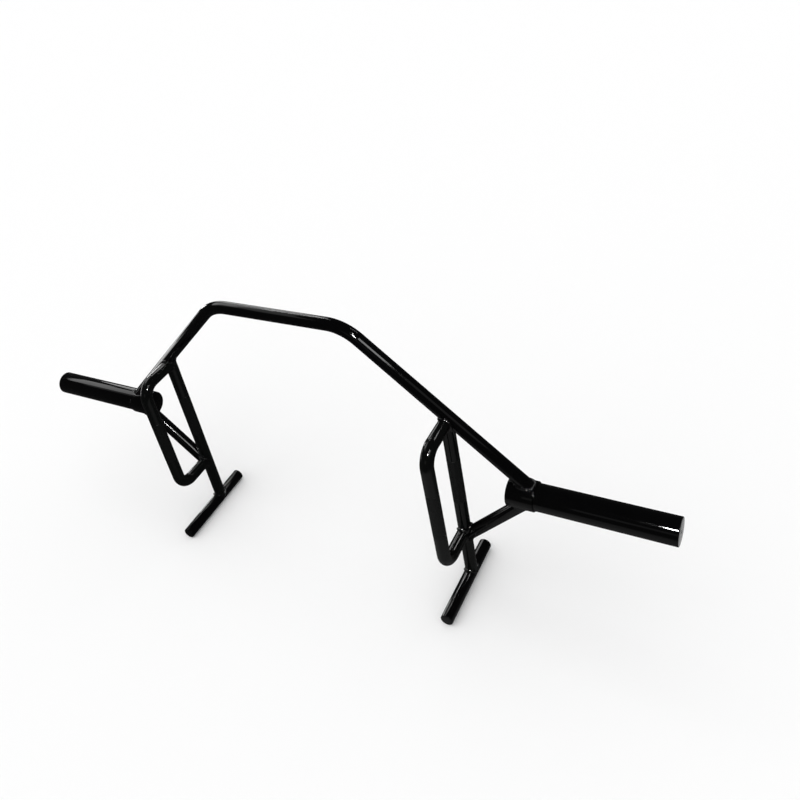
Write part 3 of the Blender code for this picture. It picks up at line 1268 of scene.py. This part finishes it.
@dataclass
class Studio:
    """The pale floor, the sky, a soft key light, the glowing room of painted shade with its painted pool of
    light, and the panels that the paint mirrors.
    """

    floor_size: float = 60.0
    floor_colour: tuple[float, float, float, float] = (0.90, 0.90, 0.90, 1.0)
    floor_dulling: tuple[float, float] = (4.0, 2.0)
    floor_roughness: tuple[float, float] = (0.85, 0.95)
    sky_levels: tuple[tuple[float, float], ...] = ((0.50, 0.90), (1.0, 0.60))
    room_radius: float = 7.0
    room_height: float = 4.5
    room_sides: int = 64
    room_clearance: float = 0.001
    room_level: float = 0.04
    pool_level: float = 0.28
    pool_place: tuple[float, float] = (0.40, -0.34)
    pool_reach: tuple[float, float] = (1.0, 0.64)
    key_strength: float = 1.55
    key_spread: float = 110.0
    key_tilt: tuple[float, float] = (28.0, -20.0)

    def build(self) -> None:
        """Set up the floor, the mirrored room, the world and the lights."""
        self.lay_floor()
        self.stand_room()
        self.wrap_world()
        self.hang_key()
        for panel in PANELS:
            panel.hang()

    def lay_floor(self) -> None:
        """Lay the pale floor that the feet stand on."""
        deselect_all()
        bpy.ops.mesh.primitive_plane_add(size=self.floor_size)
        floor = bpy.context.object
        floor.name = "studio_floor"
        bench = NodeBench("pale_floor")
        roughness = bench.spread(bench.noise(*self.floor_dulling), *self.floor_roughness)
        matte = {"Base Color": self.floor_colour, "Specular IOR Level": 0.0, "Roughness": roughness}
        bench.fill(bench.shader, matte)
        floor.data.materials.append(bench.material)

    def stand_room(self) -> None:
        """Stand the dim room that only the paint mirrors, clear of camera, diffuse and shadow rays. It is no
        lamp: its glow is painted shade all round with a painted pool of light.
        """
        deselect_all()
        bpy.ops.mesh.primitive_cylinder_add(
            vertices=self.room_sides,
            radius=self.room_radius,
            depth=self.room_height,
            location=(0.0, 0.0, self.room_clearance + self.room_height / 2),
        )
        bpy.ops.object.transform_apply(location=True, rotation=True, scale=True)
        room = bpy.context.object
        room.name = "mirrored_room"
        bench = NodeBench("mirrored_room")
        # The glow is painted light: dim painted shade all round, brighter where the painted pool of light
        # lies.
        glow = {
            "Base Color": (0.0, 0.0, 0.0, 1.0),
            "Specular IOR Level": 0.0,
            "Emission Color": (1.0, 1.0, 1.0, 1.0),
            "Emission Strength": bench.spread(self.pool(bench), self.room_level, self.pool_level),
        }
        bench.fill(bench.shader, glow)
        room.data.materials.append(bench.material)
        room.visible_camera = False
        room.visible_diffuse = False
        room.visible_shadow = False

    def pool(self, bench: NodeBench) -> bpy.types.NodeSocket:
        """The painted pool of light in the room's glow, in front of the bar and to its right.

        Args:
            bench: The room's material under construction.

        Returns:
            1 in the middle of the pool, falling to 0 at its rim and beyond.
        """
        shrink = [1.0 / reach for reach in (*self.pool_reach, self.pool_reach[0])]
        offset = [-value * share for value, share in zip((*self.pool_place, 0.0), shrink)]
        moves = {"Scale": shrink, "Location": offset, "Vector": bench.place}
        centred = bench.add("ShaderNodeMapping", moves, vector_type="POINT").outputs["Vector"]
        gradient = bench.add("ShaderNodeTexGradient", {"Vector": centred}, gradient_type="SPHERICAL")
        return gradient.outputs["Fac"]

    def wrap_world(self) -> None:
        """Surround the scene with a pale shell that darkens toward the zenith."""
        world = bpy.data.worlds.new("pale_studio")
        bpy.context.scene.world = world
        world.use_nodes = True
        tree = world.node_tree
        direction = tree.nodes.new("ShaderNodeTexCoord")
        parts = tree.nodes.new("ShaderNodeSeparateXYZ")
        half = tree.nodes.new("ShaderNodeMapRange")
        ramp = tree.nodes.new("ShaderNodeValToRGB")
        half.inputs["From Min"].default_value = -1.0
        for stop, (place, level) in zip(ramp.color_ramp.elements, self.sky_levels):
            stop.position = place
            stop.color = (level, level, level, 1.0)
        tree.links.new(direction.outputs["Generated"], parts.inputs["Vector"])
        tree.links.new(parts.outputs["Z"], half.inputs["Value"])
        tree.links.new(half.outputs["Result"], ramp.inputs["Fac"])
        tree.links.new(ramp.outputs["Color"], tree.nodes["Background"].inputs["Color"])

    def hang_key(self) -> None:
        """Hang the soft key light, which lights the floor and shows in no reflection."""
        sun = bpy.data.lights.new("soft_key", "SUN")
        sun.energy = self.key_strength
        sun.angle = math.radians(self.key_spread)
        key = put_in_scene("soft_key", sun)
        key.rotation_euler = (*(math.radians(angle) for angle in self.key_tilt), 0.0)
        key.visible_glossy = False


# The panels, with sizes in metres and radiance as the paint mirrors it

LAMP_HEIGHT = 2.85

PANELS = (
    Panel("left_ceiling_light", (-2.65, 0.55, LAMP_HEIGHT), size=(1.5, 1.9), radiance=3.4),
    Panel("left_outer_light", (-3.90, 0.85, LAMP_HEIGHT), size=(1.0, 2.5), radiance=3.0),
    Panel("left_inner_spill", (-1.65, 0.60, LAMP_HEIGHT), size=(0.5, 3.6), radiance=0.9),
    Panel("left_front_spill", (-3.00, -0.75, LAMP_HEIGHT), size=(1.8, 0.7), radiance=0.5),
    Panel("left_tube_light", (-1.95, 1.90, LAMP_HEIGHT), size=(0.05, 1.9), radiance=34.0),
    Panel("rear_tube_light", (-0.90, 0.965, 2.00), size=(0.8, 0.06), radiance=11.0),
    Panel("rear_left_light", (-2.90, 3.05, 4.00), size=(2.0, 0.3), radiance=14.0),
    Panel("rear_right_light", (1.95, 2.95, 4.00), size=(1.4, 0.18), radiance=14.0),
    Panel("right_tube_light", (2.42, -1.60, LAMP_HEIGHT), size=(0.4, 1.9), radiance=9.0),
    Panel("right_ceiling_spill", (3.40, -1.60, LAMP_HEIGHT), size=(1.2, 2.6), radiance=0.4),
    Panel("front_strip_light", (1.50, -1.05, LAMP_HEIGHT), size=(0.1, 0.8), radiance=60.0),
    Panel("viewer_flash", (0.79, -0.98, 1.50), size=(0.12, 0.12), radiance=500.0, faces=(-0.6, 0.6, -0.55)),
    Panel("front_wall_panel", (0.35, -4.00, 1.50), size=(1.9, 0.9), radiance=0.25, faces=(0.0, 1.0, -0.3)),
    Panel("left_wall_panel", (-2.90, 3.30, 1.90), size=(1.6, 2.2), radiance=3.0, faces=(0.68, -0.73, -0.2)),
    Panel("left_wall_strip", (-3.60, 1.75, 0.30), size=(0.5, 0.6), radiance=15.0, faces=(0.9, -0.43, 0.0)),
    Panel("left_low_panel", (-1.90, 0.20, 0.12), size=(1.2, 0.24), radiance=3.0, faces=(1.0, 0.0, 0.0)),
    Panel("end_face_card", (0.78, 0.27, 0.004), size=(0.16, 0.2), radiance=0.5, faces=(0.0, 0.0, 1.0)),
)


@dataclass(frozen=True)
class ViewCamera:
    """The camera at the photograph's viewing angle."""

    place: tuple[float, float, float] = (0.88837, -0.96240, 1.39238)
    tilt: float = 56.50
    lean: float = 11.22
    turn: float = 29.57
    lens: float = 38.30
    shift: tuple[float, float] = (0.07438, -0.10061)
    near: float = 0.05
    far: float = 100.0

    def set_up(self) -> None:
        """Create the camera and make it the scene's own."""
        lens = bpy.data.cameras.new("view_camera")
        lens.lens = self.lens
        lens.shift_x, lens.shift_y = self.shift
        lens.clip_start, lens.clip_end = self.near, self.far
        camera = put_in_scene("view_camera", lens)
        camera.location = self.place
        camera.rotation_euler = [math.radians(angle) for angle in (self.tilt, self.lean, self.turn)]
        bpy.context.scene.camera = camera


def main() -> None:
    """Set the camera, build the bar class by class, then set up the studio."""
    logging.basicConfig(level=logging.INFO, format="%(name)s: %(message)s")
    LOG.info("the frame has %d nodes", len(frame["nodes"]))
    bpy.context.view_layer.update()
    plan = FramePlan.from_frame()
    bpy.context.scene.view_settings.view_transform = "Standard"
    ViewCamera().set_up()
    sleeve_axis = (0.0, plan.frame_y, plan.sleeve_height)
    finishes = Finishes(
        frame=GlossPaint().build(),
        sleeve=SleevePaint(axis=sleeve_axis, end_x=plan.sleeve_end - END_FACE_DEPTH).build(),
        grip=GripPaint().build(),
        weld=WeldPaint().build(),
    )
    pieces = [TopBar(plan, finishes).build()]
    for side in Side:
        for assembly in (PlateSleeve, GripSide, SideWelds):
            pieces += assembly(plan, finishes, side).build()
    LOG.info("%d pieces stand for the model's nodes", len(pieces))
    Studio().build()


if __name__ == "__main__":
    main()
